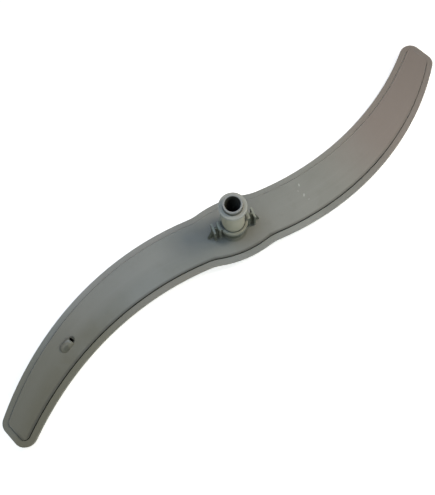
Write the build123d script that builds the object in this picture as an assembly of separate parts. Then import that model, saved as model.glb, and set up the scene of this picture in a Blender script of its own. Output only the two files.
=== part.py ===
from build123d import *

import math
import os

# Dishwasher spray arm, lying on its spray side with the hub up. Millimetres.
# Z is the hub axis, Z = 0 is the flat crown of the hull, X runs from one flat end to the other.
# The arm looks the same after half a turn about Z, apart from its jets.

# Arm in plan
span = 500.0              # flat end to flat end
hollow_radius = 261.0     # hollow long edge of each arm
full_radius = 257.0       # full long edge
hub_angle = -22.6         # long axis of the hub, degrees from X
root_width = 47.9         # arm across the hub's middle
root_shift = 2.3          # the root lies this far towards the arm's hollow side
tip_width = 34.4          # along the flat end
tip_shift = -1.35         # middle of the flat end, in Y
tip_corner = 10.0         # rounding of the two corners of each end
bulge_rise = 2.0          # the hub's bulge past the arm's hollow edge
bulge_radius = 94.0
kink_radius = 37.5        # blend where an arm runs into the bulge

# Shell section
hull_depth = 20.0         # crown to the outer face of the cover
rim_height = 4.0          # upright edge of the flange
rim_width = 5.25          # flat band from the outer edge to the groove
ledge_width = 2.8         # seat under the cover's edge
wall = 2.2
crown_tip_width = 9.5     # flat of the crown across the arm at the tips
rim_round = 0.7
rim_foot_round = 0.7
hull_steps = 5            # sections through the curve of the hull

# Cover plate
cover_thickness = 3.0
cover_step = 1.4          # the cover's face stands this far above the rim
cover_round = 0.5
groove_width = 0.4        # gap between cover and rim
groove_round = 0.3

# Spray jets through the crown, evenly spaced along each arm
jet_count = 5             # on each arm
jet_first_right = 42.0    # innermost jet, from the hub along X
jet_first_left = 65.0
jet_margin_right = 32.0   # outermost jet, from the flat end
jet_margin_left = 24.0
jet_length = 8.0
jet_width = 2.0
dish_margin = 1.4         # the dish round a jet, past the slot on each side
dish_depth = 0.9
dish_taper = 35.0         # slope of the dish's side, degrees

# Hooded scoop jet on the left arm's cover
scoop_station = 164.2     # mouth of the hood, from the hub along X
scoop_width = 8.4
scoop_length = 12.0
scoop_sink = 1.4          # axis of the hood under the cover's face
scoop_wall = 1.3
slit_reach = 1.8          # opening in front of the mouth
slit_width = 5.0
slit_round = 1.0
scoop_dish_width = 7.2    # shallow hollow round the opening
scoop_dish_depth = 1.2

# Inlet spigot, moulded on the cover
bore_diameter = 12.8
spigot_wall = 1.6
spigot_height = 61.4      # above the cover
spigot_round = 0.5
neck_step = 1.4           # the neck past the spigot
neck_height = 14.9
neck_round = 1.2

# Bearing bush, turning on the spigot
bush_clearance = 0.25
bush_wall = 1.45
bush_play = 0.3           # free travel along the spigot, at each end
collar_lip = 2.7          # the collar past the tube
collar_height = 5.0
collar_round = 1.0
relief_width = 0.5        # narrow groove round the foot of the tube
relief_depth = 0.9
flange_lip = 1.85         # the flange past the tube
flange_height = 3.0
flange_round = 0.8
flange_cone = 2.2         # height of the cone under the flange
spigot_proud = 4.9        # the spigot stands this far out of the bush

# Latch posts on the cover, one at each end of the hub
latch_gap = 0.35          # collar to finger
finger_thickness = 2.0
finger_width = 7.4
finger_height = 22.0
hook_overlap = 1.0        # hook over the collar
hook_land = 0.8           # upright nose of the hook
fin_thickness = 1.6
fin_drop = 0.8            # top of the fin under the top of the finger
fin_reach = 9.6           # foot of the fin, past the back of the finger
cross_offset = 3.4        # cross rib, past the back of the finger
cross_top = 9.4
cross_foot = 9.0
cross_drop = 0.4          # top of the cross rib under the top of the finger

# Places that follow from the sizes above
half_span = span / 2
root_hollow = root_width / 2 + root_shift
root_full = root_width / 2 - root_shift
tip_high = tip_shift + tip_width / 2
tip_low = tip_shift - tip_width / 2
across_hub = Vector(0, 1).rotate(Axis.Z, hub_angle)

rim_top = hull_depth - cover_step
rim_foot = rim_top - rim_height
ledge = hull_depth - cover_thickness
cover_inset = rim_width + groove_width
ledge_inset = rim_width + ledge_width
hull_inset = ledge_inset - wall

spigot_radius = bore_diameter / 2 + spigot_wall
spigot_top = hull_depth + spigot_height
neck_radius = spigot_radius + neck_step
neck_top = hull_depth + neck_height
bush_bore = spigot_radius + bush_clearance
tube_radius = bush_bore + bush_wall
collar_radius = tube_radius + collar_lip
collar_foot = neck_top + bush_play
collar_top = collar_foot + collar_height
flange_radius = tube_radius + flange_lip
flange_top = spigot_top - spigot_proud
hook_foot = collar_top + bush_play
finger_inner = collar_radius + latch_gap
finger_outer = finger_inner + finger_thickness
finger_top = hull_depth + finger_height


def circles_meet(centre_a, radius_a, centre_b, radius_b):
    """Point where two circles meet, on the left of the way from the first centre to the second."""
    way = centre_b - centre_a
    along = (radius_a**2 - radius_b**2 + way.length**2) / (2 * way.length)
    aside = math.sqrt(radius_a**2 - along**2)
    return centre_a + way.normalized() * along + way.rotate(Axis.Z, 90).normalized() * aside


# Centres of the right arm's two long edges and of the bulge below the hub
hollow_end_point = Vector(half_span, tip_high)
full_end_point = Vector(half_span, tip_low)
hollow_centre = circles_meet(across_hub * root_hollow, hollow_radius, hollow_end_point, hollow_radius)
full_centre = circles_meet(across_hub * -root_full, full_radius, full_end_point, full_radius)
bulge_centre = across_hub * (bulge_radius - root_hollow - bulge_rise)


def arm_middle(station):
    """Y of the right arm's middle line at a distance from the hub, and its direction in degrees."""
    hollow_drop = math.sqrt(hollow_radius**2 - (station - hollow_centre.X) ** 2)
    full_drop = math.sqrt(full_radius**2 - (station - full_centre.X) ** 2)
    middle = (hollow_centre.Y - hollow_drop + full_centre.Y - full_drop) / 2
    hollow_slope = (station - hollow_centre.X) / hollow_drop
    full_slope = (station - full_centre.X) / full_drop
    return middle, math.degrees(math.atan((hollow_slope + full_slope) / 2))


# The crown keeps its width at the tips, where the arm runs askew to the flat end
tip_across = tip_width * math.cos(math.radians(arm_middle(half_span)[1]))
crown_inset = (tip_across - crown_tip_width) / 2
crown_corner = crown_tip_width / 3
hollow_corner = (crown_tip_width - 2 * wall) / 3


def towards(centre, point, radius):
    """Point at the given radius from a centre, on the side of another point."""
    return centre + (point - centre).normalized() * radius


def arc(centre, start, end):
    """Arc about a centre, less than half a turn."""
    middle = towards(centre, (start + end) / 2, (start - centre).length)
    return ThreePointArc(start, middle, end)


def arm_outline(inset, corner):
    """Face bounded by the arm's outline moved inwards, with its own corner radius at the tips."""
    hollow = hollow_radius + inset
    full = full_radius - inset
    bulge = bulge_radius - inset
    kink = kink_radius + inset
    end = half_span - inset

    # Along the lower edge from the left tip, round the right tip, to the right arm's hollow edge
    left_kink = circles_meet(-hollow_centre, hollow - kink, bulge_centre, bulge + kink)
    right_kink = circles_meet(full_centre, full + kink, bulge_centre, bulge + kink)
    corner_x = end - corner
    low_drop = math.sqrt((full - corner) ** 2 - (corner_x - full_centre.X) ** 2)
    high_drop = math.sqrt((hollow + corner) ** 2 - (corner_x - hollow_centre.X) ** 2)
    low_corner = Vector(corner_x, full_centre.Y - low_drop)
    high_corner = Vector(corner_x, hollow_centre.Y - high_drop)

    hollow_end = towards(hollow_centre, high_corner, hollow)
    hollow_start = towards(-hollow_centre, left_kink, hollow)
    bulge_start = towards(bulge_centre, left_kink, bulge)
    bulge_end = towards(bulge_centre, right_kink, bulge)
    full_start = towards(full_centre, right_kink, full)
    full_end = towards(full_centre, low_corner, full)
    end_low = Vector(end, low_corner.Y)
    end_high = Vector(end, high_corner.Y)

    edges = []
    for turn in (1, -1):
        edges += [
            arc(-hollow_centre * turn, -hollow_end * turn, hollow_start * turn),
            arc(left_kink * turn, hollow_start * turn, bulge_start * turn),
            arc(bulge_centre * turn, bulge_start * turn, bulge_end * turn),
            arc(right_kink * turn, bulge_end * turn, full_start * turn),
            arc(full_centre * turn, full_start * turn, full_end * turn),
            arc(low_corner * turn, full_end * turn, end_low * turn),
            Line(end_low * turn, end_high * turn),
            arc(high_corner * turn, end_high * turn, hollow_end * turn),
        ]
    return Face(Wire(edges))


def arm_plate(inset, bottom, top):
    """Upright plate with the arm's outline moved inwards."""
    return Pos(0, 0, bottom) * extrude(arm_outline(inset, tip_corner - inset), top - bottom)


def hull_solid(inset, crown, corner):
    """Solid from the flange's foot down to a crown, its side curved like a quarter of an ellipse."""
    run = crown_inset - hull_inset
    drop = rim_foot - crown
    first_corner = tip_corner - inset
    sections = []
    for step in range(hull_steps):
        share = step / (hull_steps - 1)
        turn = math.radians(90 * share)
        section_inset = inset + run * (1 - math.cos(turn))
        section_corner = first_corner + (corner - first_corner) * share
        height = rim_foot - drop * math.sin(turn)
        sections.append(Pos(0, 0, height) * arm_outline(section_inset, section_corner))
    return loft(sections)


def arm_frame(station, side, height):
    """Place on an arm's middle line, X outwards. Side is 1 for the right arm, -1 for the left."""
    middle, angle = arm_middle(station)
    outwards = angle if side > 0 else angle + 180
    return Pos(side * station, side * middle, height) * Rot(0, 0, outwards)


def ring(outer, inner, bottom, top):
    """Plain ring about the hub axis, or a disc where the inner radius is 0."""
    profile = Circle(outer)
    if inner > 0:
        profile -= Circle(inner)
    return Pos(0, 0, bottom) * extrude(profile, top - bottom)


def jet_cut():
    """Spray jet through the crown: a dish that opens downwards, with a round-ended slot in its floor."""
    flare = 2 * dish_depth * math.tan(math.radians(dish_taper))
    dish_length = jet_length + 2 * dish_margin
    dish_width = jet_width + 2 * dish_margin
    mouth = SlotOverall(dish_length + flare, dish_width + flare)
    floor = Pos(0, 0, dish_depth) * SlotOverall(dish_length, dish_width)
    return loft([mouth, floor]) + extrude(SlotOverall(jet_length, jet_width), wall)


def nozzle_shell():
    """Tray-shaped moulding: flange with the cover's seat, curved hull and the spray jets."""
    flange = arm_plate(0, rim_foot, rim_top)
    flange = fillet(flange.edges().group_by(Axis.Z)[-1], rim_round)
    flange = fillet(flange.edges().group_by(Axis.Z)[0], rim_foot_round)
    rim = flange - arm_plate(rim_width, ledge, rim_top)
    rim = fillet(rim.faces().sort_by(Axis.Z)[-1].inner_wires()[0].edges(), groove_round)

    hollow = hull_solid(ledge_inset, wall, hollow_corner) + arm_plate(ledge_inset, rim_foot, rim_top)
    shell = rim + hull_solid(hull_inset, 0, crown_corner) - hollow
    jet = jet_cut()
    jet_rows = ((1, jet_first_right, jet_margin_right), (-1, jet_first_left, jet_margin_left))
    for side, first, margin in jet_rows:
        pitch = (half_span - margin - first) / (jet_count - 1)
        for number in range(jet_count):
            shell -= arm_frame(first + number * pitch, side, 0) * jet
    return shell


def outline_face(plane, *points):
    """Flat face on a plane, bounded by straight edges through the points."""
    return plane * make_face(Polyline(*points, close=True))


def edges_of_radius(solid, radius):
    """Round edges of one radius."""
    return [edge for edge in solid.edges().filter_by(GeomType.CIRCLE) if math.isclose(edge.radius, radius)]


def bullet(length, radius, height):
    """Round bar along X from the YZ plane, ending in half a ball, its axis at the given height."""
    straight = Polyline((length + radius, 0), (0, 0), (0, radius), (length, radius))
    profile = straight + CenterArc((length, 0), radius, 0, 90)
    return Pos(0, 0, height) * revolve(Plane.XZ * make_face(profile), Axis.X)


def add_scoop(plate):
    """Hood over a slot in the left arm's cover; the slot ends in a dish before the mouth, towards the hub."""
    place = arm_frame(scoop_station, -1, hull_depth)
    hood_radius = math.hypot(scoop_width / 2, scoop_sink)
    bar_length = scoop_length - scoop_width / 2
    hood = bullet(bar_length, hood_radius, -scoop_sink)
    ground = Box(3 * scoop_length, 2 * scoop_width, 2 * hood_radius)
    buried = Pos(0, 0, -cover_thickness / 2 - hood_radius) * ground
    passage = bullet(bar_length, hood_radius - scoop_wall, -scoop_sink)
    opening = extrude(RectangleRounded(2 * slit_reach, slit_width, slit_round), -cover_thickness)
    dish_radius = (scoop_dish_width**2 / 4 + scoop_dish_depth**2) / (2 * scoop_dish_depth)
    dish = Pos(0, 0, dish_radius - scoop_dish_depth) * Sphere(dish_radius)
    return plate - place * dish + place * (hood - buried) - place * passage - place * opening


def latch_post():
    """Snap finger hooked over the bush's collar, stiffened behind by a sloping fin and a cross rib."""
    nose = collar_radius - hook_overlap
    turned = revolve(
        outline_face(
            Plane.XZ,
            (finger_inner, ledge),
            (finger_inner, hook_foot),
            (nose, hook_foot),
            (nose, hook_foot + hook_land),
            (finger_inner, finger_top),
            (finger_outer, finger_top),
            (finger_outer, ledge),
        ),
        Axis.Z,
    )
    band = Box(2 * finger_outer, finger_width, 2 * finger_top)
    finger = turned & Pos(finger_outer, 0, finger_top / 2) * band

    cross_place = finger_outer + cross_offset
    cross_height = finger_top - cross_drop
    fin_root = finger_outer - finger_thickness / 2
    fin_foot = finger_outer + fin_reach
    slope = outline_face(
        Plane.XZ,
        (fin_root, ledge),
        (fin_root, finger_top - fin_drop),
        (cross_place, cross_height),
        (fin_foot, hull_depth),
        (fin_foot, ledge),
    )
    gable = outline_face(
        Plane.YZ.offset(cross_place),
        (-cross_foot / 2, ledge),
        (-cross_foot / 2, hull_depth),
        (-cross_top / 2, cross_height),
        (cross_top / 2, cross_height),
        (cross_foot / 2, hull_depth),
        (cross_foot / 2, ledge),
    )
    fin = extrude(slope, fin_thickness / 2, both=True)
    cross_rib = extrude(gable, fin_thickness / 2, both=True)
    return finger + fin + cross_rib


def cover_plate():
    """Flat plate, let into the rim and proud of it, with inlet spigot, neck, latch posts and scoop jet."""
    plate = arm_plate(cover_inset, ledge, hull_depth)
    plate = add_scoop(fillet(plate.faces().sort_by(Axis.Z)[-1].edges(), cover_round))
    bore = bore_diameter / 2
    spigot = ring(spigot_radius, bore, ledge, spigot_top)
    spigot = fillet(spigot.faces().sort_by(Axis.Z)[-1].edges(), spigot_round)
    neck = ring(neck_radius, bore, ledge, neck_top)
    cover = plate - ring(neck_radius, 0, ledge, hull_depth) + neck + spigot
    neck_rings = edges_of_radius(cover, neck_radius)
    foot = [edge for edge in neck_rings if math.isclose(edge.center().Z, hull_depth)]
    cover = fillet(foot, neck_round)
    for turn in (0, 180):
        cover += Rot(0, 0, hub_angle + turn) * latch_post()
    return cover


def bearing_bush():
    """Tube that turns on the spigot: collar under the latch hooks, flange at the free end."""
    flange_foot = flange_top - flange_height
    bush = revolve(
        outline_face(
            Plane.XZ,
            (bush_bore, collar_foot),
            (collar_radius, collar_foot),
            (collar_radius, collar_top),
            (tube_radius + relief_width, collar_top),
            (tube_radius + relief_width, collar_top - relief_depth),
            (tube_radius, collar_top - relief_depth),
            (tube_radius, flange_foot - flange_cone),
            (flange_radius, flange_foot),
            (flange_radius, flange_top),
            (bush_bore, flange_top),
        ),
        Axis.Z,
    )
    bush = fillet(edges_of_radius(bush, collar_radius), collar_round)
    return fillet(edges_of_radius(bush, flange_radius), flange_round)


def main():
    """Build each moulding and write it out."""
    os.makedirs("parts", exist_ok=True)
    mouldings = {
        "nozzle_shell": nozzle_shell(),
        "cover_plate": cover_plate(),
        "bearing_bush": bearing_bush(),
    }
    for name, moulding in mouldings.items():
        export_step(moulding, f"parts/{name}.step")


main()
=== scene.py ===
"""Looks of a dishwasher spray arm that lies on its spray side with the hub up.

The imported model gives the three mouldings. This script dresses them in grey satin plastic, sets a pale floor
and soft studio light around them, and looks down on the hub from one side.
"""

import logging
import math
from dataclasses import dataclass
from enum import Enum
from typing import Any, Optional, Union

import bpy
import numpy as np
from mathutils import Matrix, Vector

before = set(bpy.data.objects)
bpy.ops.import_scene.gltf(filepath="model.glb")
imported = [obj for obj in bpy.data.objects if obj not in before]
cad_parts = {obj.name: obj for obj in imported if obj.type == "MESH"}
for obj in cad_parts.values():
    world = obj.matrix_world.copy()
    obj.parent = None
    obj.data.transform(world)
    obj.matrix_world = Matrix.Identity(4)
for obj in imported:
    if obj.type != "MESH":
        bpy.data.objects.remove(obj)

LOG = logging.getLogger("spray_arm")
MM = 0.001
NOISE_MIDDLE = 0.5
# Places of the colour sockets on a Mix node, whose names they share with its value sockets
MIX_UNDER = 6
MIX_OVER = 7
MIX_RESULT = 2

Colour = tuple[float, float, float]
Point = tuple[float, float, float]
Spot = tuple[float, float]
# A measure at which a share is 0, and one at which it is 1
Fade = tuple[float, float]


@dataclass(frozen=True)
class Wire:
    """One value socket of a shader tree; arithmetic on it adds Math nodes."""

    tree: "ShaderTree"
    socket: bpy.types.NodeSocket

    def math(self, operation: str, *values: "Value") -> "Wire":
        """Add one Math node.

        Args:
            operation: Blender's name of the operation.
            values: numbers or wires for the node's inputs, in order.

        Returns:
            The node's result.
        """
        node = self.tree.node("ShaderNodeMath", {"operation": operation}, dict(enumerate(values)))
        return Wire(self.tree, node.outputs[0])

    def __add__(self, other: "Value") -> "Wire":
        """Sum."""
        return self.math("ADD", self, other)

    def __radd__(self, other: "Value") -> "Wire":
        """Sum with a number on the left."""
        return self.math("ADD", other, self)

    def __sub__(self, other: "Value") -> "Wire":
        """Difference."""
        return self.math("SUBTRACT", self, other)

    def __rsub__(self, other: "Value") -> "Wire":
        """Difference with a number on the left."""
        return self.math("SUBTRACT", other, self)

    def __mul__(self, other: "Value") -> "Wire":
        """Product."""
        return self.math("MULTIPLY", self, other)

    def __rmul__(self, other: "Value") -> "Wire":
        """Product with a number on the left."""
        return self.math("MULTIPLY", other, self)

    def __truediv__(self, other: "Value") -> "Wire":
        """Quotient."""
        return self.math("DIVIDE", self, other)

    def __rtruediv__(self, other: "Value") -> "Wire":
        """Quotient with a number on the left."""
        return self.math("DIVIDE", other, self)

    def __abs__(self) -> "Wire":
        """Size without sign."""
        return self.math("ABSOLUTE", self)

    def sign(self) -> "Wire":
        """Minus one, nought or one."""
        return self.math("SIGN", self)

    def least(self, other: "Value") -> "Wire":
        """Smaller of two values."""
        return self.math("MINIMUM", self, other)

    def most(self, other: "Value") -> "Wire":
        """Greater of two values."""
        return self.math("MAXIMUM", self, other)

    def rise(self, low: float, high: float) -> "Wire":
        """Smooth step, which rises with the value or falls where low is the greater number.

        Args:
            low: value at which the step is 0.
            high: value at which it is 1.

        Returns:
            The step, from 0 to 1.
        """
        settings = {"interpolation_type": "SMOOTHSTEP"}
        inputs = {"Value": self, "From Min": low, "From Max": high}
        return Wire(self.tree, self.tree.node("ShaderNodeMapRange", settings, inputs).outputs[0])


Value = Union[Wire, float]


class ShaderTree:
    """Node tree of one material or world, with a single method that makes its nodes."""

    def __init__(self, owner: Union[bpy.types.Material, bpy.types.World]) -> None:
        """Empty the owner's node tree.

        Args:
            owner: material or world that the nodes go to.
        """
        owner.use_nodes = True
        owner.node_tree.nodes.clear()
        self.owner = owner

    def node(
        self,
        kind: str,
        settings: Optional[dict[str, Any]] = None,
        inputs: Optional[dict[Union[str, int], Any]] = None,
    ) -> bpy.types.Node:
        """Add one node.

        Args:
            kind: Blender's type name of the node.
            settings: properties of the node, set before its sockets.
            inputs: numbers, colours, wires or sockets for its inputs, by name or place.

        Returns:
            The new node.
        """
        made = self.owner.node_tree.nodes.new(kind)
        for name, value in (settings or {}).items():
            setattr(made, name, value)
        for name, value in (inputs or {}).items():
            socket = made.inputs[name]
            if isinstance(value, Wire):
                value = value.socket
            if isinstance(value, bpy.types.NodeSocket):
                self.owner.node_tree.links.new(value, socket)
            else:
                socket.default_value = value
        return made

    def place(self) -> tuple[Wire, Wire, Wire]:
        """Object coordinates of the place that is shaded.

        Returns:
            X, Y and Z in metres.
        """
        coordinates = self.node("ShaderNodeTexCoord").outputs["Object"]
        split = self.node("ShaderNodeSeparateXYZ", inputs={0: coordinates})
        return tuple(Wire(self, output) for output in split.outputs)

    def point(self, x: Value, y: Value, z: Value) -> bpy.types.NodeSocket:
        """Vector socket made of three values."""
        return self.node("ShaderNodeCombineXYZ", inputs={0: x, 1: y, 2: z}).outputs[0]

    def length(self, x: Value, y: Value) -> Wire:
        """Length of a vector in the plane."""
        node = self.node("ShaderNodeVectorMath", {"operation": "LENGTH"}, {0: self.point(x, y, 0.0)})
        return Wire(self, node.outputs["Value"])

    def distance(self, x: Wire, y: Wire, spot: Spot) -> Wire:
        """Distance of a place in the plane from a spot."""
        return self.length(x - spot[0], y - spot[1])

    def noise(self, at: bpy.types.NodeSocket, size: float, detail: float = 3.0) -> Wire:
        """Soft noise from 0 to 1.

        Args:
            at: vector that the noise is read at.
            size: length of one blotch, in the vector's unit.
            detail: octaves of finer noise on top.

        Returns:
            The noise value.
        """
        inputs = {"Vector": at, "Scale": 1 / size, "Detail": detail}
        return Wire(self, self.node("ShaderNodeTexNoise", inputs=inputs).outputs[0])

    def tint(
        self,
        under: Union[Colour, bpy.types.NodeSocket],
        over: Union[Colour, bpy.types.NodeSocket],
        share: Value,
    ) -> bpy.types.NodeSocket:
        """Lay one colour over another.

        Args:
            under: colour below, as red, green and blue or a socket.
            over: colour above.
            share: how much of the upper colour is laid on, from 0 to 1.

        Returns:
            Colour socket of the result.
        """
        layers = [(*c, 1.0) if isinstance(c, tuple) else c for c in (under, over)]
        inputs = {"Factor": share, MIX_UNDER: layers[0], MIX_OVER: layers[1]}
        return self.node("ShaderNodeMix", {"data_type": "RGBA"}, inputs).outputs[MIX_RESULT]

    def seen(self) -> Wire:
        """Tell the rays that show a thing to the camera, straight, in gloss or through glass, from the rest.

        Returns:
            1 for such a ray, else 0.
        """
        rays = self.node("ShaderNodeLightPath").outputs
        kinds = ("Camera", "Glossy", "Transmission")
        direct, gloss, glass = (Wire(self, rays[f"Is {kind} Ray"]) for kind in kinds)
        return (direct + gloss + glass).least(1.0)

    def surface(self, shader: bpy.types.NodeSocket) -> Union[bpy.types.Material, bpy.types.World]:
        """Make a shader the owner's surface.

        Args:
            shader: shader socket that is shown.

        Returns:
            The owner, finished.
        """
        owner_kind = "World" if isinstance(self.owner, bpy.types.World) else "Material"
        self.node(f"ShaderNodeOutput{owner_kind}", inputs={"Surface": shader})
        return self.owner


@dataclass
class Coat:
    """A finish in the making: colour, roughness and relief so far, and the place they depend on."""

    tree: ShaderTree
    x: Wire
    y: Wire
    z: Wire
    colour: bpy.types.NodeSocket
    roughness: Wire
    relief: Wire
    depth: float
    specular: float

    def radius(self) -> Wire:
        """Distance of the place from the hub's axis."""
        return self.tree.length(self.x, self.y)

    def noise(self, size: float, detail: float = 3.0, flat: bool = False) -> Wire:
        """Noise at the place on the part.

        Args:
            size: length of one blotch, in metres.
            detail: octaves of finer noise on top.
            flat: True where the noise is the same at every height.

        Returns:
            The noise value, from 0 to 1.
        """
        return self.tree.noise(self.tree.point(self.x, self.y, 0.0 if flat else self.z), size, detail)

    def lay(self, colour: Colour, share: Value) -> None:
        """Lay a colour over what is there, by a share from 0 to 1."""
        self.colour = self.tree.tint(self.colour, colour, share)

    def roughen(self, share: Wire, change: float) -> None:
        """Change the roughness where a share is 1, and less where it is smaller."""
        self.roughness = self.roughness + share * change

    def material(self) -> bpy.types.Material:
        """Finish the coat as a principled surface with its relief as bump.

        Returns:
            The finished material.
        """
        bump = self.tree.node("ShaderNodeBump", inputs={"Distance": self.depth, "Height": self.relief})
        shader = self.tree.node(
            "ShaderNodeBsdfPrincipled",
            inputs={
                "Base Color": self.colour,
                "Roughness": self.roughness,
                "Specular IOR Level": self.specular,
                "Normal": bump.outputs[0],
            },
        )
        return self.tree.surface(shader.outputs[0])


@dataclass(frozen=True)
class ArmPlan:
    """Outline of the arm in plan, as circles; half a turn about the hub maps it on itself."""

    half_span: float = 250 * MM
    hollow_centre: Spot = (138.1 * MM, 251.8 * MM)
    hollow_radius: float = 261 * MM
    full_centre: Spot = (119.6 * MM, 202.8 * MM)
    full_radius: float = 257 * MM
    bulge_centre: Spot = (25.3 * MM, 60.7 * MM)
    bulge_radius: float = 94 * MM

    def sweep(self, coat: Coat) -> tuple[Wire, Wire]:
        """Coordinates that follow the arm's curve.

        Args:
            coat: coat whose place is asked for.

        Returns:
            Length along the hollow edge's arc and distance from that edge, both in metres.
        """
        side = coat.x.sign()
        off_x = coat.x * side - self.hollow_centre[0]
        off_y = self.hollow_centre[1] - coat.y * side
        along = off_x.math("ARCTAN2", off_x, off_y) * self.hollow_radius * side
        return along, coat.tree.length(off_x, off_y) - self.hollow_radius

    def from_edges(self, coat: Coat) -> tuple[Wire, Wire]:
        """Distances inwards from the arm's two long edges.

        Args:
            coat: coat whose place is asked for.

        Returns:
            Distance from the hollow edge and distance from the full one, both in metres.
        """
        side = coat.x.sign()
        right_x, right_y = coat.x * side, coat.y * side
        from_hollow = coat.tree.distance(right_x, right_y, self.hollow_centre) - self.hollow_radius
        from_full = self.full_radius - coat.tree.distance(right_x, right_y, self.full_centre)
        return from_hollow, from_full

    def lean(self, coat: Coat) -> Wire:
        """How much nearer a place is to the arm's edge on the -Y side than to the one on the +Y side.

        Args:
            coat: coat whose place is asked for.

        Returns:
            The difference in metres.
        """
        from_hollow, from_full = self.from_edges(coat)
        return (from_hollow - from_full) * coat.x.sign()

    def inset(self, coat: Coat) -> Wire:
        """Distance inwards from the outline, as the least over the arm's edges or over the hub's two bulges.

        Args:
            coat: coat whose place is asked for.

        Returns:
            The distance in metres.
        """
        from_hollow, from_full = self.from_edges(coat)
        arm = from_hollow.least(from_full).least(self.half_span - abs(coat.x))
        opposite = (-self.bulge_centre[0], -self.bulge_centre[1])
        below = self.bulge_radius - coat.tree.distance(coat.x, coat.y, self.bulge_centre)
        above = self.bulge_radius - coat.tree.distance(coat.x, coat.y, opposite)
        return arm.most(below.least(above))


@dataclass(frozen=True)
class MouldedPlastic:
    """Satin moulded plastic: cloudy colour, mottling, fine specks, matt and shiny patches, fine grain."""

    name: str
    colour: Colour
    pale: Colour
    dark: Colour
    roughness: float = 0.47
    roughness_play: float = 0.14
    specular: float = 0.22
    cloud_size: float = 42 * MM
    cloud_edge: Fade = (0.40, 0.72)
    cloud_share: float = 0.30
    mottle_size: float = 7 * MM
    mottle_edge: Fade = (0.52, 0.74)
    mottle_share: float = 0.16
    speck_size: float = 0.8 * MM
    pale_speck_edge: Fade = (0.60, 0.76)
    dark_speck_edge: Fade = (0.40, 0.27)
    speck_share: float = 0.16
    grain_size: float = 0.30 * MM
    grain_depth: float = 0.018 * MM

    def start(self) -> Coat:
        """Lay the plain plastic.

        Returns:
            A coat that stains and marks can be laid on.
        """
        tree = ShaderTree(bpy.data.materials.new(self.name))
        x, y, z = tree.place()
        here = tree.point(x, y, z)
        cloud = tree.noise(here, self.cloud_size, detail=2.0)
        mottle = tree.noise(here, self.mottle_size, detail=4.0)
        speck = tree.noise(here, self.speck_size, detail=1.0)
        grain = tree.noise(here, self.grain_size, detail=2.0)
        colour = tree.tint(self.colour, self.pale, cloud.rise(*self.cloud_edge) * self.cloud_share)
        roughness = self.roughness + (mottle - NOISE_MIDDLE) * self.roughness_play
        coat = Coat(tree, x, y, z, colour, roughness, grain, self.grain_depth, self.specular)
        coat.lay(self.dark, mottle.rise(*self.mottle_edge) * self.mottle_share)
        coat.lay(self.pale, speck.rise(*self.pale_speck_edge) * self.speck_share)
        coat.lay(self.dark, speck.rise(*self.dark_speck_edge) * self.speck_share)
        return coat


class MarkKind(Enum):
    """What a mark lays on the plastic, as a colour: worn scuffs, painted highlights and painted shade."""

    WORN = (0.620, 0.620, 0.600)
    # Painted highlight
    HIGHLIGHT = (0.360, 0.362, 0.345)
    # Painted shade
    SHADE = (0.080, 0.082, 0.066)


@dataclass(frozen=True)
class Mark:
    """One oval mark on the cover's face, ragged at its edge; marks are worn scuffs, painted shade and painted
    highlights.
    """

    kind: MarkKind
    centre: Spot
    length: float
    width: float
    turn: float
    share: float
    raggedness: float = 0.5
    edge: Fade = (0.72, 0.22)

    def lay_on(self, coat: Coat) -> None:
        """Lay the mark on a coat: whole inside the oval, broken up by noise at its edge, gone outside it.

        Args:
            coat: coat that takes the mark.
        """
        cosine, sine = math.cos(math.radians(self.turn)), math.sin(math.radians(self.turn))
        off_x, off_y = coat.x - self.centre[0], coat.y - self.centre[1]
        along = (off_x * cosine + off_y * sine) / self.length
        across = (off_y * cosine - off_x * sine) / self.width
        broken = coat.noise(self.width, detail=2.0, flat=True)
        reach = coat.tree.length(along, across) + (broken - NOISE_MIDDLE) * self.raggedness
        coat.lay(self.kind.value, reach.rise(*self.edge) * self.share)


class ArmTone(Enum):
    """Tones laid along the arm, as colours: discolouring that dishwater leaves, and painted light."""

    # Painted light for the groove along the +Y side
    GROOVE_LIGHT = (0.920, 0.910, 0.870)
    # Painted light for the +Y side of the rim and face, mostly on the left arm
    FAR_SIDE_LIGHT = (0.385, 0.355, 0.320)
    BROWN = (0.268, 0.217, 0.197)
    YELLOW = (0.258, 0.234, 0.192)
    OLIVE = (0.212, 0.196, 0.150)
    RIM_OLIVE = (0.205, 0.188, 0.132)
    DEEP_OLIVE = (0.168, 0.152, 0.104)
    DULL = (0.130, 0.128, 0.118)


class Side(Enum):
    """Sides of the arm that a band of tone lies on."""

    BOTH = "both sides"
    NEAR = "-Y side"
    FAR = "+Y side"


@dataclass(frozen=True)
class ToneBand:
    """A band of tone that comes in along X, on one side of the arm or on both, and may go again further on;
    the tones are discolouring and painted light.
    """

    kind: ArmTone
    share: float
    comes: Fade
    side: Side = Side.BOTH
    goes: Optional[Fade] = None
    blotch: Optional[float] = None
    blotch_edge: Fade = (0.25, 0.60)

    def lay_on(self, coat: Coat, near: Wire, within: Value = 1.0) -> None:
        """Lay the band on a coat.

        Args:
            coat: coat that takes the band.
            near: 1 on the arm's -Y side, 0 on the other.
            within: share that keeps the band to a part of the moulding.
        """
        share = coat.x.rise(*self.comes) * self.share * within
        if self.goes is not None:
            share = share * coat.x.rise(*self.goes)
        if self.side is Side.NEAR:
            share = share * near
        if self.side is Side.FAR:
            share = share * (1.0 - near)
        if self.blotch is not None:
            share = share * coat.noise(self.blotch, flat=True).rise(*self.blotch_edge)
        coat.lay(self.kind.value, share)


# Painted light in the groove along the +Y side of the left arm, laid on the shell's gap and on the cover's
# wall where they are in shade
FAR_GROOVE_LIGHT = ToneBand(ArmTone.GROOVE_LIGHT, 0.92, (-175 * MM, -100 * MM), Side.FAR)


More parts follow.
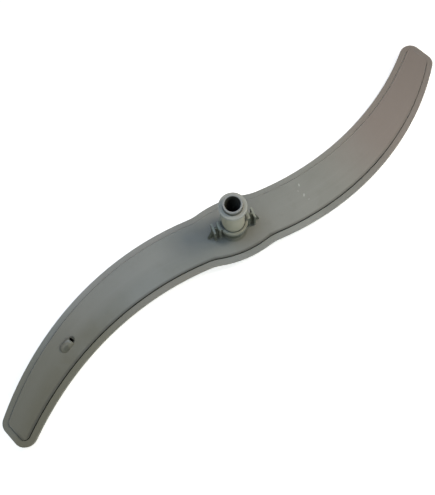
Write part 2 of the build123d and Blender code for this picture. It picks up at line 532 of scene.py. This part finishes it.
@dataclass
class Moulding:
    """One moulding of the arm: its CAD node and the plastic it is made of."""

    node: str
    plastic: MouldedPlastic

    def paint_coat(self, coat: Coat) -> None:
        """Lay the moulding's own discolouring, marks and painted light and shade on its coat."""
        raise NotImplementedError

    def dress(self) -> None:
        """Give the CAD node its finish in place of the material that it came with."""
        coat = self.plastic.start()
        self.paint_coat(coat)
        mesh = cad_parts[self.node].data
        mesh.materials.clear()
        mesh.materials.append(coat.material())
        LOG.info("%s wears %s", self.node, self.plastic.name)


@dataclass
class NozzleShell(Moulding):
    """Lower moulding: the rim round the cover, and the hull with the jets on the hidden side."""

    plan: ArmPlan = ArmPlan()
    rim_width: float = 5.25 * MM
    rim_top: float = 18.6 * MM
    rim_foot: float = 14.6 * MM
    near_side: Fade = (-14 * MM, 10 * MM)
    # Worn outer corner with a painted highlight: inset, depth below the rim's top, and patches
    corner_inset: Fade = (1.1 * MM, 0.2 * MM)
    corner_depth: Fade = (1.4 * MM, 0.2 * MM)
    corner_patch: float = 9 * MM
    corner_patch_edge: Fade = (0.34, 0.66)
    corner_share: float = 0.2
    corner_polish: float = -0.08
    # Painted shade in the gap beside the cover: place past the rim's width, depth below its top, height above
    # its foot
    gap_inset: Fade = (-0.30 * MM, -0.05 * MM)
    gap_depth: Fade = (0.1 * MM, 0.4 * MM)
    gap_height: Fade = (0.0, 0.5 * MM)
    gap_share: float = 0.9
    painted_shade: Colour = (0.045, 0.047, 0.042)
    # Painted light over the gap's shade on the +Y side
    far_groove_light: ToneBand = FAR_GROOVE_LIGHT
    tone_bands: tuple[ToneBand, ...] = (
        ToneBand(ArmTone.BROWN, 0.60, (80 * MM, 165 * MM)),
        # Painted light along the +Y side of the rim, mostly on the left arm
        ToneBand(ArmTone.FAR_SIDE_LIGHT, 0.42, (20 * MM, -50 * MM), Side.FAR, goes=(-175 * MM, -125 * MM)),
        ToneBand(ArmTone.YELLOW, 0.75, (-10 * MM, -60 * MM), Side.NEAR),
        ToneBand(ArmTone.RIM_OLIVE, 0.88, (-80 * MM, -160 * MM), Side.NEAR),
        ToneBand(ArmTone.RIM_OLIVE, 0.55, (-165 * MM, -215 * MM), Side.FAR),
        ToneBand(ArmTone.DULL, 0.32, (45 * MM, 80 * MM), Side.NEAR, goes=(175 * MM, 120 * MM)),
    )

    def paint_coat(self, coat: Coat) -> None:
        """Discolour the rim, lay painted light along the +Y side of the left arm, rub its outer corner paler
        with a painted highlight, and paint shade in the gap beside the cover, with painted light over it on
        the +Y side.

        Args:
            coat: coat of plain plastic.
        """
        inset = self.plan.inset(coat)
        near = self.plan.lean(coat).rise(*self.near_side)
        depth = self.rim_top - coat.z
        for tone_band in self.tone_bands:
            tone_band.lay_on(coat, near)
        # Rim's outer corner made paler as rubbing and a painted highlight, with real polish
        patches = coat.noise(self.corner_patch).rise(*self.corner_patch_edge)
        rubbed_lit = inset.rise(*self.corner_inset) * depth.rise(*self.corner_depth) * patches
        coat.lay(self.plastic.pale, rubbed_lit * self.corner_share)
        coat.roughen(rubbed_lit, self.corner_polish)
        # Painted shade in the gap beside the cover
        gap = (inset - self.rim_width).rise(*self.gap_inset) * depth.rise(*self.gap_depth)
        gap = gap * (coat.z - self.rim_foot).rise(*self.gap_height)
        coat.lay(self.painted_shade, gap * self.gap_share)
        # Painted light over that painted shade on the +Y side of the left arm
        self.far_groove_light.lay_on(coat, near, gap)


@dataclass
class CoverPlate(Moulding):
    """Upper moulding: the flat face, the inlet spigot, the latch posts and the scoop."""

    plan: ArmPlan = ArmPlan()
    face: float = 20 * MM
    edge_inset: float = 5.65 * MM
    spigot_radius: float = 8 * MM
    spigot_top: float = 81.4 * MM
    bore_radius: float = 6.4 * MM
    neck_reach: float = 12.2 * MM
    neck_top: float = 34.9 * MM
    latch_reach: float = 25 * MM
    latch_top: float = 42 * MM
    # Wiping streaks: their size, the stretch beside the hub that they leave out, and their strength
    streak_length: float = 110 * MM
    streak_width: float = 3.4 * MM
    streak_clear: Fade = (25 * MM, 60 * MM)
    pale_streak_edge: Fade = (0.50, 0.80)
    pale_streak_share: float = 0.18
    dark_streak_edge: Fade = (0.46, 0.22)
    dark_streak_share: float = 0.12
    tone_side: Fade = (-12 * MM, 16 * MM)
    tone_bands: tuple[ToneBand, ...] = (
        ToneBand(ArmTone.BROWN, 0.70, (80 * MM, 165 * MM)),
        ToneBand(ArmTone.OLIVE, 0.80, (-80 * MM, -185 * MM)),
        ToneBand(ArmTone.DEEP_OLIVE, 0.55, (-95 * MM, -155 * MM), Side.NEAR, blotch=24 * MM),
        # Painted light along the +Y side of the left arm's face
        ToneBand(ArmTone.FAR_SIDE_LIGHT, 0.2, (-30 * MM, -80 * MM), Side.FAR, goes=(-190 * MM, -140 * MM)),
    )
    # Latch posts, with painted shade on them and a painted highlight on their tops: height above the face,
    # place past their reach, radius of the webs, depth below their tops
    post_height: Fade = (0.4 * MM, 3 * MM)
    post_reach: Fade = (3 * MM, 0.0)
    web_start: Fade = (13.9 * MM, 14.5 * MM)
    web_end: Fade = (17.3 * MM, 17.0 * MM)
    top_depth: Fade = (1.5 * MM, 0.9 * MM)
    finger_reach: Fade = (0.0, 0.4 * MM)
    olive_shade: Colour = (0.085, 0.095, 0.070)
    shade_patch: float = 2.5 * MM
    shade_edge: Fade = (0.26, 0.48)
    post_shade_share: float = 0.88
    post_top_highlight: Colour = (0.320, 0.345, 0.295)
    highlight_edge: Fade = (0.20, 0.50)
    highlight_share: float = 0.85
    # Painted shade round the neck and in the bore: place past the neck's reach, height above the face, place
    # past the bore, depth in it
    neck_edge: Fade = (0.8 * MM, -1.4 * MM)
    neck_shade_height: float = 3 * MM
    neck_shade_share: float = 0.55
    bore_edge: Fade = (0.6 * MM, 0.1 * MM)
    lip_start: Fade = (0.5 * MM, 1.8 * MM)
    lip_end: Fade = (20 * MM, 5 * MM)
    painted_shade: Colour = (0.040, 0.042, 0.038)
    bore_share: float = 0.60
    # Edge of the face, worn and with a painted highlight on its rounding, painted shade on its wall and along
    # the -Y side, and painted light on the +Y side: place past the edge and height above the face, for each of
    # the things laid there
    edge_side: Fade = (-14 * MM, 10 * MM)
    edge_patch: float = 11 * MM
    lit_rub_reach: Fade = (1.1 * MM, 0.3 * MM)
    lit_rub_height: Fade = (-0.5 * MM, -0.1 * MM)
    lit_rub_edge: Fade = (0.28, 0.62)
    lit_rub_share: float = 0.5
    wall_reach: Fade = (0.6 * MM, 0.2 * MM)
    wall_height: Fade = (-0.55 * MM, -0.8 * MM)
    wall_share: float = 0.95
    # Painted light over the wall's shade on the +Y side
    far_groove_light: ToneBand = FAR_GROOVE_LIGHT
    near_edge_shade: Colour = (0.065, 0.062, 0.050)
    near_shade_height: Fade = (0.6 * MM, 0.2 * MM)
    near_shade_along: Fade = (270 * MM, 60 * MM)
    line_reach: Fade = (0.95 * MM, 0.45 * MM)
    line_edge: Fade = (0.20, 0.42)
    line_share: float = 0.4
    band_reach: Fade = (2.8 * MM, 0.5 * MM)
    band_share: float = 0.6
    # Mouth of the spigot, with painted shade on its wall and a painted highlight on its ring: place past its
    # radius, and depth below its top
    mouth_edge: Fade = (1 * MM, 0.4 * MM)
    mouth_wall_depth: Fade = (0.5 * MM, 1.2 * MM)
    mouth_wall_share: float = 0.5
    mouth_depth: Fade = (0.9 * MM, 0.3 * MM)
    mouth_share: float = 0.8
    mouth_polish: float = -0.12
    mouth_highlight: Colour = (0.290, 0.294, 0.290)
    marks: tuple[Mark, ...] = (
        Mark(MarkKind.WORN, (69.2 * MM, -13.5 * MM), 2.6 * MM, 1.2 * MM, 60, 0.60),
        Mark(MarkKind.WORN, (65.3 * MM, -23.0 * MM), 2.6 * MM, 1.2 * MM, 40, 0.60),
        Mark(MarkKind.WORN, (64.4 * MM, -16.7 * MM), 1.6 * MM, 0.8 * MM, 80, 0.30),
        Mark(MarkKind.WORN, (65.5 * MM, -28.7 * MM), 1.6 * MM, 0.8 * MM, 20, 0.30),
        # Painted shade in the scoop's dish and on its hood's flank and closed end
        Mark(MarkKind.SHADE, (-170.8 * MM, 25.9 * MM), 5.6 * MM, 4.2 * MM, 20, 0.75),
        Mark(MarkKind.SHADE, (-171.0 * MM, 32.2 * MM), 9.0 * MM, 2.6 * MM, 0, 0.30),
        Mark(MarkKind.SHADE, (-161.6 * MM, 29.5 * MM), 4.0 * MM, 3.0 * MM, 80, 0.62),
        # Painted highlight on the scoop hood's crest
        Mark(MarkKind.HIGHLIGHT, (-166.8 * MM, 30.2 * MM), 4.6 * MM, 1.4 * MM, -20, 0.55),
        Mark(MarkKind.HIGHLIGHT, (-165.4 * MM, 28.4 * MM), 1.2 * MM, 4.0 * MM, 0, 0.45),
    )

    def paint_coat(self, coat: Coat) -> None:
        """Streak and discolour the face, lay painted light along its +Y side, paint shade and highlights on
        the posts, shade round the neck and in the bore, rub and paint light and shade at the edge and the
        mouth, and lay the single marks.

        Args:
            coat: coat of plain plastic.
        """
        lean = self.plan.lean(coat)
        near = lean.rise(*self.tone_side)
        radius = coat.radius()
        self.streak(coat)
        for tone_band in self.tone_bands:
            tone_band.lay_on(coat, near)
        self.shade_posts(coat, radius)
        self.shade_neck_and_bore(coat, radius)
        self.paint_edge(coat, lean.rise(*self.edge_side))
        self.paint_mouth(coat, radius)
        for mark in self.marks:
            mark.lay_on(coat)

    def streak(self, coat: Coat) -> None:
        """Wipe faint streaks along the arm's curve, which fade at the hub.

        Args:
            coat: coat that takes the streaks.
        """
        along, across = self.plan.sweep(coat)
        at = coat.tree.point(along / self.streak_length, across / self.streak_width, 0.0)
        streak = coat.tree.noise(at, size=1.0)
        away = abs(coat.x).rise(*self.streak_clear)
        coat.lay(self.plastic.pale, streak.rise(*self.pale_streak_edge) * away * self.pale_streak_share)
        coat.lay(self.plastic.dark, streak.rise(*self.dark_streak_edge) * away * self.dark_streak_share)

    def shade_posts(self, coat: Coat, radius: Wire) -> None:
        """Paint shade on the latch posts, and a painted highlight on the tops of their fingers and cross ribs.

        Args:
            coat: coat that takes the painted shade and highlight.
            radius: distance from the hub's axis.
        """
        posts = (coat.z - self.face).rise(*self.post_height)
        posts = posts * (radius - self.latch_reach).rise(*self.post_reach)
        webs = radius.rise(*self.web_start) * radius.rise(*self.web_end)
        tops = (self.latch_top - coat.z).rise(*self.top_depth) * (1.0 - webs)
        patches = coat.noise(self.shade_patch)
        # Painted shade on the posts
        coat.lay(self.olive_shade, posts * (1.0 - tops) * patches.rise(*self.shade_edge) * self.post_shade_share)
        tops = tops * (radius - self.neck_reach).rise(*self.finger_reach)
        # Painted highlight on the tops of the fingers and cross ribs
        coat.lay(self.post_top_highlight, posts * tops * patches.rise(*self.highlight_edge) * self.highlight_share)

    def shade_neck_and_bore(self, coat: Coat, radius: Wire) -> None:
        """Paint shade round the neck, more of it further down, and inside the mouth of the bore.

        Args:
            coat: coat that takes the painted shade.
            radius: distance from the hub's axis.
        """
        neck = (radius - self.neck_reach).rise(*self.neck_edge)
        low = coat.z.rise(self.neck_top, self.face + self.neck_shade_height)
        # Painted shade on the face round the neck, under the collar
        coat.lay(self.olive_shade, neck * low * self.neck_shade_share)
        depth = self.spigot_top - coat.z
        lip = depth.rise(*self.lip_start) * depth.rise(*self.lip_end)
        # Painted shade inside the mouth of the bore
        coat.lay(self.painted_shade, (radius - self.bore_radius).rise(*self.bore_edge) * lip * self.bore_share)

    def paint_edge(self, coat: Coat, near: Wire) -> None:
        """Lighten the rounded edge of the face as rubbing and a painted highlight, paint shade on its wall
        with painted light over it on the +Y side, and paint a line and a band of shade along the -Y side.

        Args:
            coat: coat that takes the rubbing and the painted light and shade.
            near: 1 on the arm's -Y side, 0 on the other.
        """
        past = self.plan.inset(coat) - self.edge_inset
        height = coat.z - self.face
        patches = coat.noise(self.edge_patch, flat=True)
        # Rounded edge made paler as rubbing and a painted highlight
        rubbed_lit = past.rise(*self.lit_rub_reach) * height.rise(*self.lit_rub_height)
        coat.lay(self.plastic.pale, rubbed_lit * patches.rise(*self.lit_rub_edge) * self.lit_rub_share)
        # Painted shade on the face's wall
        wall = past.rise(*self.wall_reach) * height.rise(*self.wall_height)
        coat.lay(self.painted_shade, wall * self.wall_share)
        # Painted light on the wall on the +Y side of the left arm
        self.far_groove_light.lay_on(coat, near, wall)
        # Painted shade as a line and a soft band along the -Y edge
        flat = near * height.rise(*self.near_shade_height) * coat.x.rise(*self.near_shade_along)
        line = past.rise(*self.line_reach) * patches.rise(*self.line_edge)
        coat.lay(self.painted_shade, line * flat * self.line_share)
        coat.lay(self.near_edge_shade, past.rise(*self.band_reach) * flat * self.band_share)

    def paint_mouth(self, coat: Coat, radius: Wire) -> None:
        """Paint shade on the spigot's wall, and a painted highlight with real polish on the ring at its mouth.

        Args:
            coat: coat that takes the painted shade and highlight.
            radius: distance from the hub's axis.
        """
        spigot = (radius - self.spigot_radius).rise(*self.mouth_edge)
        depth = self.spigot_top - coat.z
        # Painted shade on the spigot's wall below its mouth
        coat.lay(self.painted_shade, spigot * depth.rise(*self.mouth_wall_depth) * self.mouth_wall_share)
        mouth = spigot * depth.rise(*self.mouth_depth)
        # Painted highlight on the ring, with real polish
        coat.lay(self.mouth_highlight, mouth * self.mouth_share)
        coat.roughen(mouth, self.mouth_polish)


@dataclass
class BearingBush(Moulding):
    """Tube that turns on the spigot, with its flange and its collar, in lighter plastic whose colour is partly
    painted light on the tube's sides.
    """

    tube_radius: float = 9.7 * MM
    collar_foot: float = 35.2 * MM
    collar_top: float = 40.2 * MM
    flange_top: float = 76.5 * MM
    latch_turn: float = -22.6
    # Turned rings
    ring_width: float = 0.7 * MM
    dark_ring_edge: Fade = (0.50, 0.75)
    dark_ring_share: float = 0.30
    pale_ring_edge: Fade = (0.48, 0.25)
    pale_ring_share: float = 0.25
    # Head kept greyer than the tube, whose lighter colour is partly painted light on its sides, with a
    # polished face: depth below the flange's top
    head_depth: Fade = (6 * MM, 2 * MM)
    head_share: float = 0.9
    head_face_depth: Fade = (0.5 * MM, 0.05 * MM)
    head_polish: float = -0.10
    head_grey: Colour = (0.350, 0.352, 0.322)
    # Painted shade at the tube's foot, on the collar and under it: place past the tube, heights above the
    # collar's top and above its foot
    painted_shade: Colour = (0.055, 0.075, 0.080)
    corner_reach: Fade = (0.9 * MM, 0.2 * MM)
    corner_height: Fade = (1.2 * MM, 0.1 * MM)
    corner_share: float = 0.6
    collar_height: Fade = (0.8 * MM, -0.8 * MM)
    collar_share: float = 0.55
    underside_height: Fade = (3.2 * MM, 0.4 * MM)
    underside_share: float = 0.40
    tube_height: Fade = (6 * MM, 0.3 * MM)
    tube_start: Fade = (-0.2 * MM, 0.1 * MM)
    tube_share: float = 0.22
    # Painted shade under the hooks: place out towards the latches, across them, and height above the collar's
    # top
    hook_out: Fade = (7 * MM, 8.6 * MM)
    hook_across: Fade = (5.2 * MM, 3.4 * MM)
    hook_height: Fade = (6 * MM, 1 * MM)
    hook_share: float = 0.7

    def paint_coat(self, coat: Coat) -> None:
        """Turn fine rings into the tube, keep the flange's head greyer, paint shade at the tube's foot, on the
        collar, under it and under the hooks, and polish the head's face.

        Args:
            coat: coat of plain plastic.
        """
        radius = coat.radius()
        height = coat.z - self.collar_top
        depth = self.flange_top - coat.z
        rings = coat.tree.noise(coat.tree.point(radius, 0.0, coat.z), self.ring_width, detail=2.0)
        coat.lay(self.plastic.dark, rings.rise(*self.dark_ring_edge) * self.dark_ring_share)
        coat.lay(self.plastic.pale, rings.rise(*self.pale_ring_edge) * self.pale_ring_share)
        # Painted shade in the corner at the tube's foot
        corner = (radius - self.tube_radius).rise(*self.corner_reach) * height.rise(*self.corner_height)
        coat.lay(self.painted_shade, corner * self.corner_share)
        # Head kept greyer than the tube, whose lighter colour is partly painted light on its sides
        coat.lay(self.head_grey, depth.rise(*self.head_depth) * self.head_share)
        # Painted shade on the collar, under it and on the tube just above it
        coat.lay(self.painted_shade, height.rise(*self.collar_height) * self.collar_share)
        underside = (coat.z - self.collar_foot).rise(*self.underside_height)
        coat.lay(self.painted_shade, underside * self.underside_share)
        tube = height.rise(*self.tube_height) * height.rise(*self.tube_start)
        coat.lay(self.painted_shade, tube * self.tube_share)
        self.shade_under_hooks(coat, height)
        coat.roughen(depth.rise(*self.head_face_depth), self.head_polish)

    def shade_under_hooks(self, coat: Coat, height: Wire) -> None:
        """Paint shade on the collar and the foot of the tube under the two latch hooks.

        Args:
            coat: coat that takes the painted shade.
            height: height above the collar's top.
        """
        cosine, sine = math.cos(math.radians(self.latch_turn)), math.sin(math.radians(self.latch_turn))
        out = abs(coat.x * cosine + coat.y * sine).rise(*self.hook_out)
        across = abs(coat.y * cosine - coat.x * sine).rise(*self.hook_across)
        # Painted shade under the hooks
        coat.lay(self.painted_shade, out * across * height.rise(*self.hook_height) * self.hook_share)


@dataclass(frozen=True)
class Floor:
    """Plain pale floor under the part, square, flat and wide enough to fill every view."""

    half_width: float = 4.0
    drop: float = 0.05 * MM
    cells: int = 8
    colour: Colour = (0.86, 0.86, 0.84)
    glow: float = 0.74
    clear: Fade = (0.4, 1.1)

    def build(self) -> None:
        """Build the floor as a flat grid: x and y run evenly over the square, z is a hair below the part."""
        steps = np.linspace(-self.half_width, self.half_width, self.cells + 1)
        x, y = np.meshgrid(steps, steps, indexing="ij")
        points = np.stack([x, y, np.full_like(x, -self.drop)], axis=-1).reshape(-1, 3)
        corner = (np.arange(self.cells)[:, None] * (self.cells + 1) + np.arange(self.cells)).ravel()
        faces = np.stack([corner, corner + self.cells + 1, corner + self.cells + 2, corner + 1], axis=-1)
        mesh = bpy.data.meshes.new("floor")
        mesh.from_pydata(points, [], faces.tolist())
        floor = bpy.data.objects.new("floor", mesh)
        bpy.context.scene.collection.objects.link(floor)
        mesh.materials.append(self.material())
        LOG.info("floor laid")

    def material(self) -> bpy.types.Material:
        """Pale diffuse floor that the camera and gloss see brighter, and white away from the part.

        Returns:
            The floor's material.
        """
        tree = ShaderTree(bpy.data.materials.new("pale_floor"))
        x, y, _ = tree.place()
        away = tree.length(x, y).rise(*self.clear)
        share = tree.seen() * (self.glow + away * (1.0 - self.glow))
        level = tree.tint((0.0, 0.0, 0.0), (1.0, 1.0, 1.0), share)
        diffuse = tree.node("ShaderNodeBsdfDiffuse", inputs={"Color": (*self.colour, 1.0)})
        glow = tree.node("ShaderNodeEmission", inputs={"Color": level, "Strength": 1.0})
        both = tree.node("ShaderNodeAddShader", inputs={0: diffuse.outputs[0], 1: glow.outputs[0]})
        return tree.surface(both.outputs[0])


@dataclass(frozen=True)
class SoftBox:
    """One square studio lamp that looks at its aim."""

    name: str
    azimuth: float
    elevation: float
    distance: float
    width: float
    watts: float
    colour: Colour
    aim: Point = (0.0, 0.0, 20 * MM)

    def build(self) -> None:
        """Hang the lamp on a sphere round its aim and turn it there."""
        turn, rise = math.radians(self.azimuth), math.radians(self.elevation)
        way = Vector((math.cos(rise) * math.cos(turn), math.cos(rise) * math.sin(turn), math.sin(rise)))
        data = bpy.data.lights.new(self.name, "AREA")
        data.shape = "SQUARE"
        data.size = self.width
        data.energy = self.watts
        data.color = self.colour
        lamp = bpy.data.objects.new(self.name, data)
        lamp.location = Vector(self.aim) + way * self.distance
        lamp.rotation_mode = "QUATERNION"
        lamp.rotation_quaternion = (-way).to_track_quat("-Z", "Y")
        bpy.context.scene.collection.objects.link(lamp)
        LOG.info("%s hung", self.name)


@dataclass(frozen=True)
class Viewpoint:
    """Camera above and beside the hub, turned so that the arm runs from lower left to upper right."""

    place: Point = (-109.63 * MM, -115.05 * MM, 506.75 * MM)
    forward: Point = (0.17292, 0.22264, -0.95945)
    up: Point = (0.69029, 0.66746, 0.27929)
    lens: float = 42.79
    sensor: float = 36.0
    clip_start: float = 10 * MM

    def build(self) -> None:
        """Make the camera and let the scene use it."""
        back = -Vector(self.forward).normalized()
        right = Vector(self.up).cross(back).normalized()
        up = back.cross(right)
        data = bpy.data.cameras.new("camera")
        data.lens = self.lens
        data.sensor_width = self.sensor
        data.clip_start = self.clip_start
        camera = bpy.data.objects.new("camera", data)
        turn = Matrix((right, up, back)).transposed()
        camera.matrix_world = Matrix.Translation(self.place) @ turn.to_4x4()
        bpy.context.scene.collection.objects.link(camera)
        bpy.context.scene.camera = camera
        LOG.info("camera set")


@dataclass(frozen=True)
class Studio:
    """Floor, lamps, even light from all round, and the camera."""

    floor: Floor = Floor()
    lamps: tuple[SoftBox, ...] = (
        SoftBox("key", -32, 58, 0.45, 0.13, 0.75, (1.0, 0.92, 0.73)),
        SoftBox(
            "over_left_arm", 90, 80, 0.45, 0.25, 0.78, (0.59, 0.77, 1.0), aim=(-100 * MM, 30 * MM, 20 * MM)
        ),
        SoftBox(
            "over_right_arm", 0, 75, 0.45, 0.25, 0.28, (1.0, 0.84, 0.83), aim=(120 * MM, -30 * MM, 20 * MM)
        ),
        SoftBox("back", 103, 50, 0.90, 0.35, 0.50, (1.0, 0.90, 0.76)),
        SoftBox("side", -75, 30, 0.90, 0.35, 1.14, (0.70, 0.86, 1.0)),
        SoftBox("front", -134, 22, 0.90, 0.35, 1.22, (0.92, 1.0, 0.86)),
    )
    air: Colour = (0.84, 0.93, 1.0)
    air_strength: float = 0.02
    backdrop: Colour = (1.0, 1.0, 1.0)
    camera: Viewpoint = Viewpoint()

    def build(self) -> None:
        """Set up everything round the part."""
        bpy.context.scene.view_settings.view_transform = "Standard"
        self.floor.build()
        for lamp in self.lamps:
            lamp.build()
        self.light_air()
        self.camera.build()

    def light_air(self) -> None:
        """Fill the world with a weak even light that shows as a white backdrop."""
        tree = ShaderTree(bpy.data.worlds.new("studio"))
        weak = {"Color": (*self.air, 1.0), "Strength": self.air_strength}
        white = {"Color": (*self.backdrop, 1.0), "Strength": 1.0}
        air = tree.node("ShaderNodeBackground", inputs=weak)
        backdrop = tree.node("ShaderNodeBackground", inputs=white)
        layers = {0: tree.seen(), 1: air.outputs[0], 2: backdrop.outputs[0]}
        bpy.context.scene.world = tree.surface(tree.node("ShaderNodeMixShader", inputs=layers).outputs[0])
        LOG.info("air lit")


def main() -> None:
    """Dress the mouldings and set up the studio."""
    logging.basicConfig(level=logging.INFO)
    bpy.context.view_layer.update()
    shell_grey = MouldedPlastic(
        "shell_grey", (0.262, 0.264, 0.242), pale=(0.345, 0.347, 0.325), dark=(0.200, 0.202, 0.182)
    )
    cover_grey = MouldedPlastic(
        "cover_grey", (0.250, 0.252, 0.230), pale=(0.330, 0.332, 0.310), dark=(0.190, 0.192, 0.172)
    )
    # Lighter than the cover, partly as painted light on the tube's sides
    bush_grey = MouldedPlastic(
        "bush_grey", (0.425, 0.412, 0.322), pale=(0.490, 0.480, 0.400), dark=(0.350, 0.340, 0.258)
    )
    NozzleShell("nozzle_shell", shell_grey).dress()
    CoverPlate("cover_plate", cover_grey).dress()
    BearingBush("bearing_bush", bush_grey).dress()
    Studio().build()


if __name__ == "__main__":
    main()
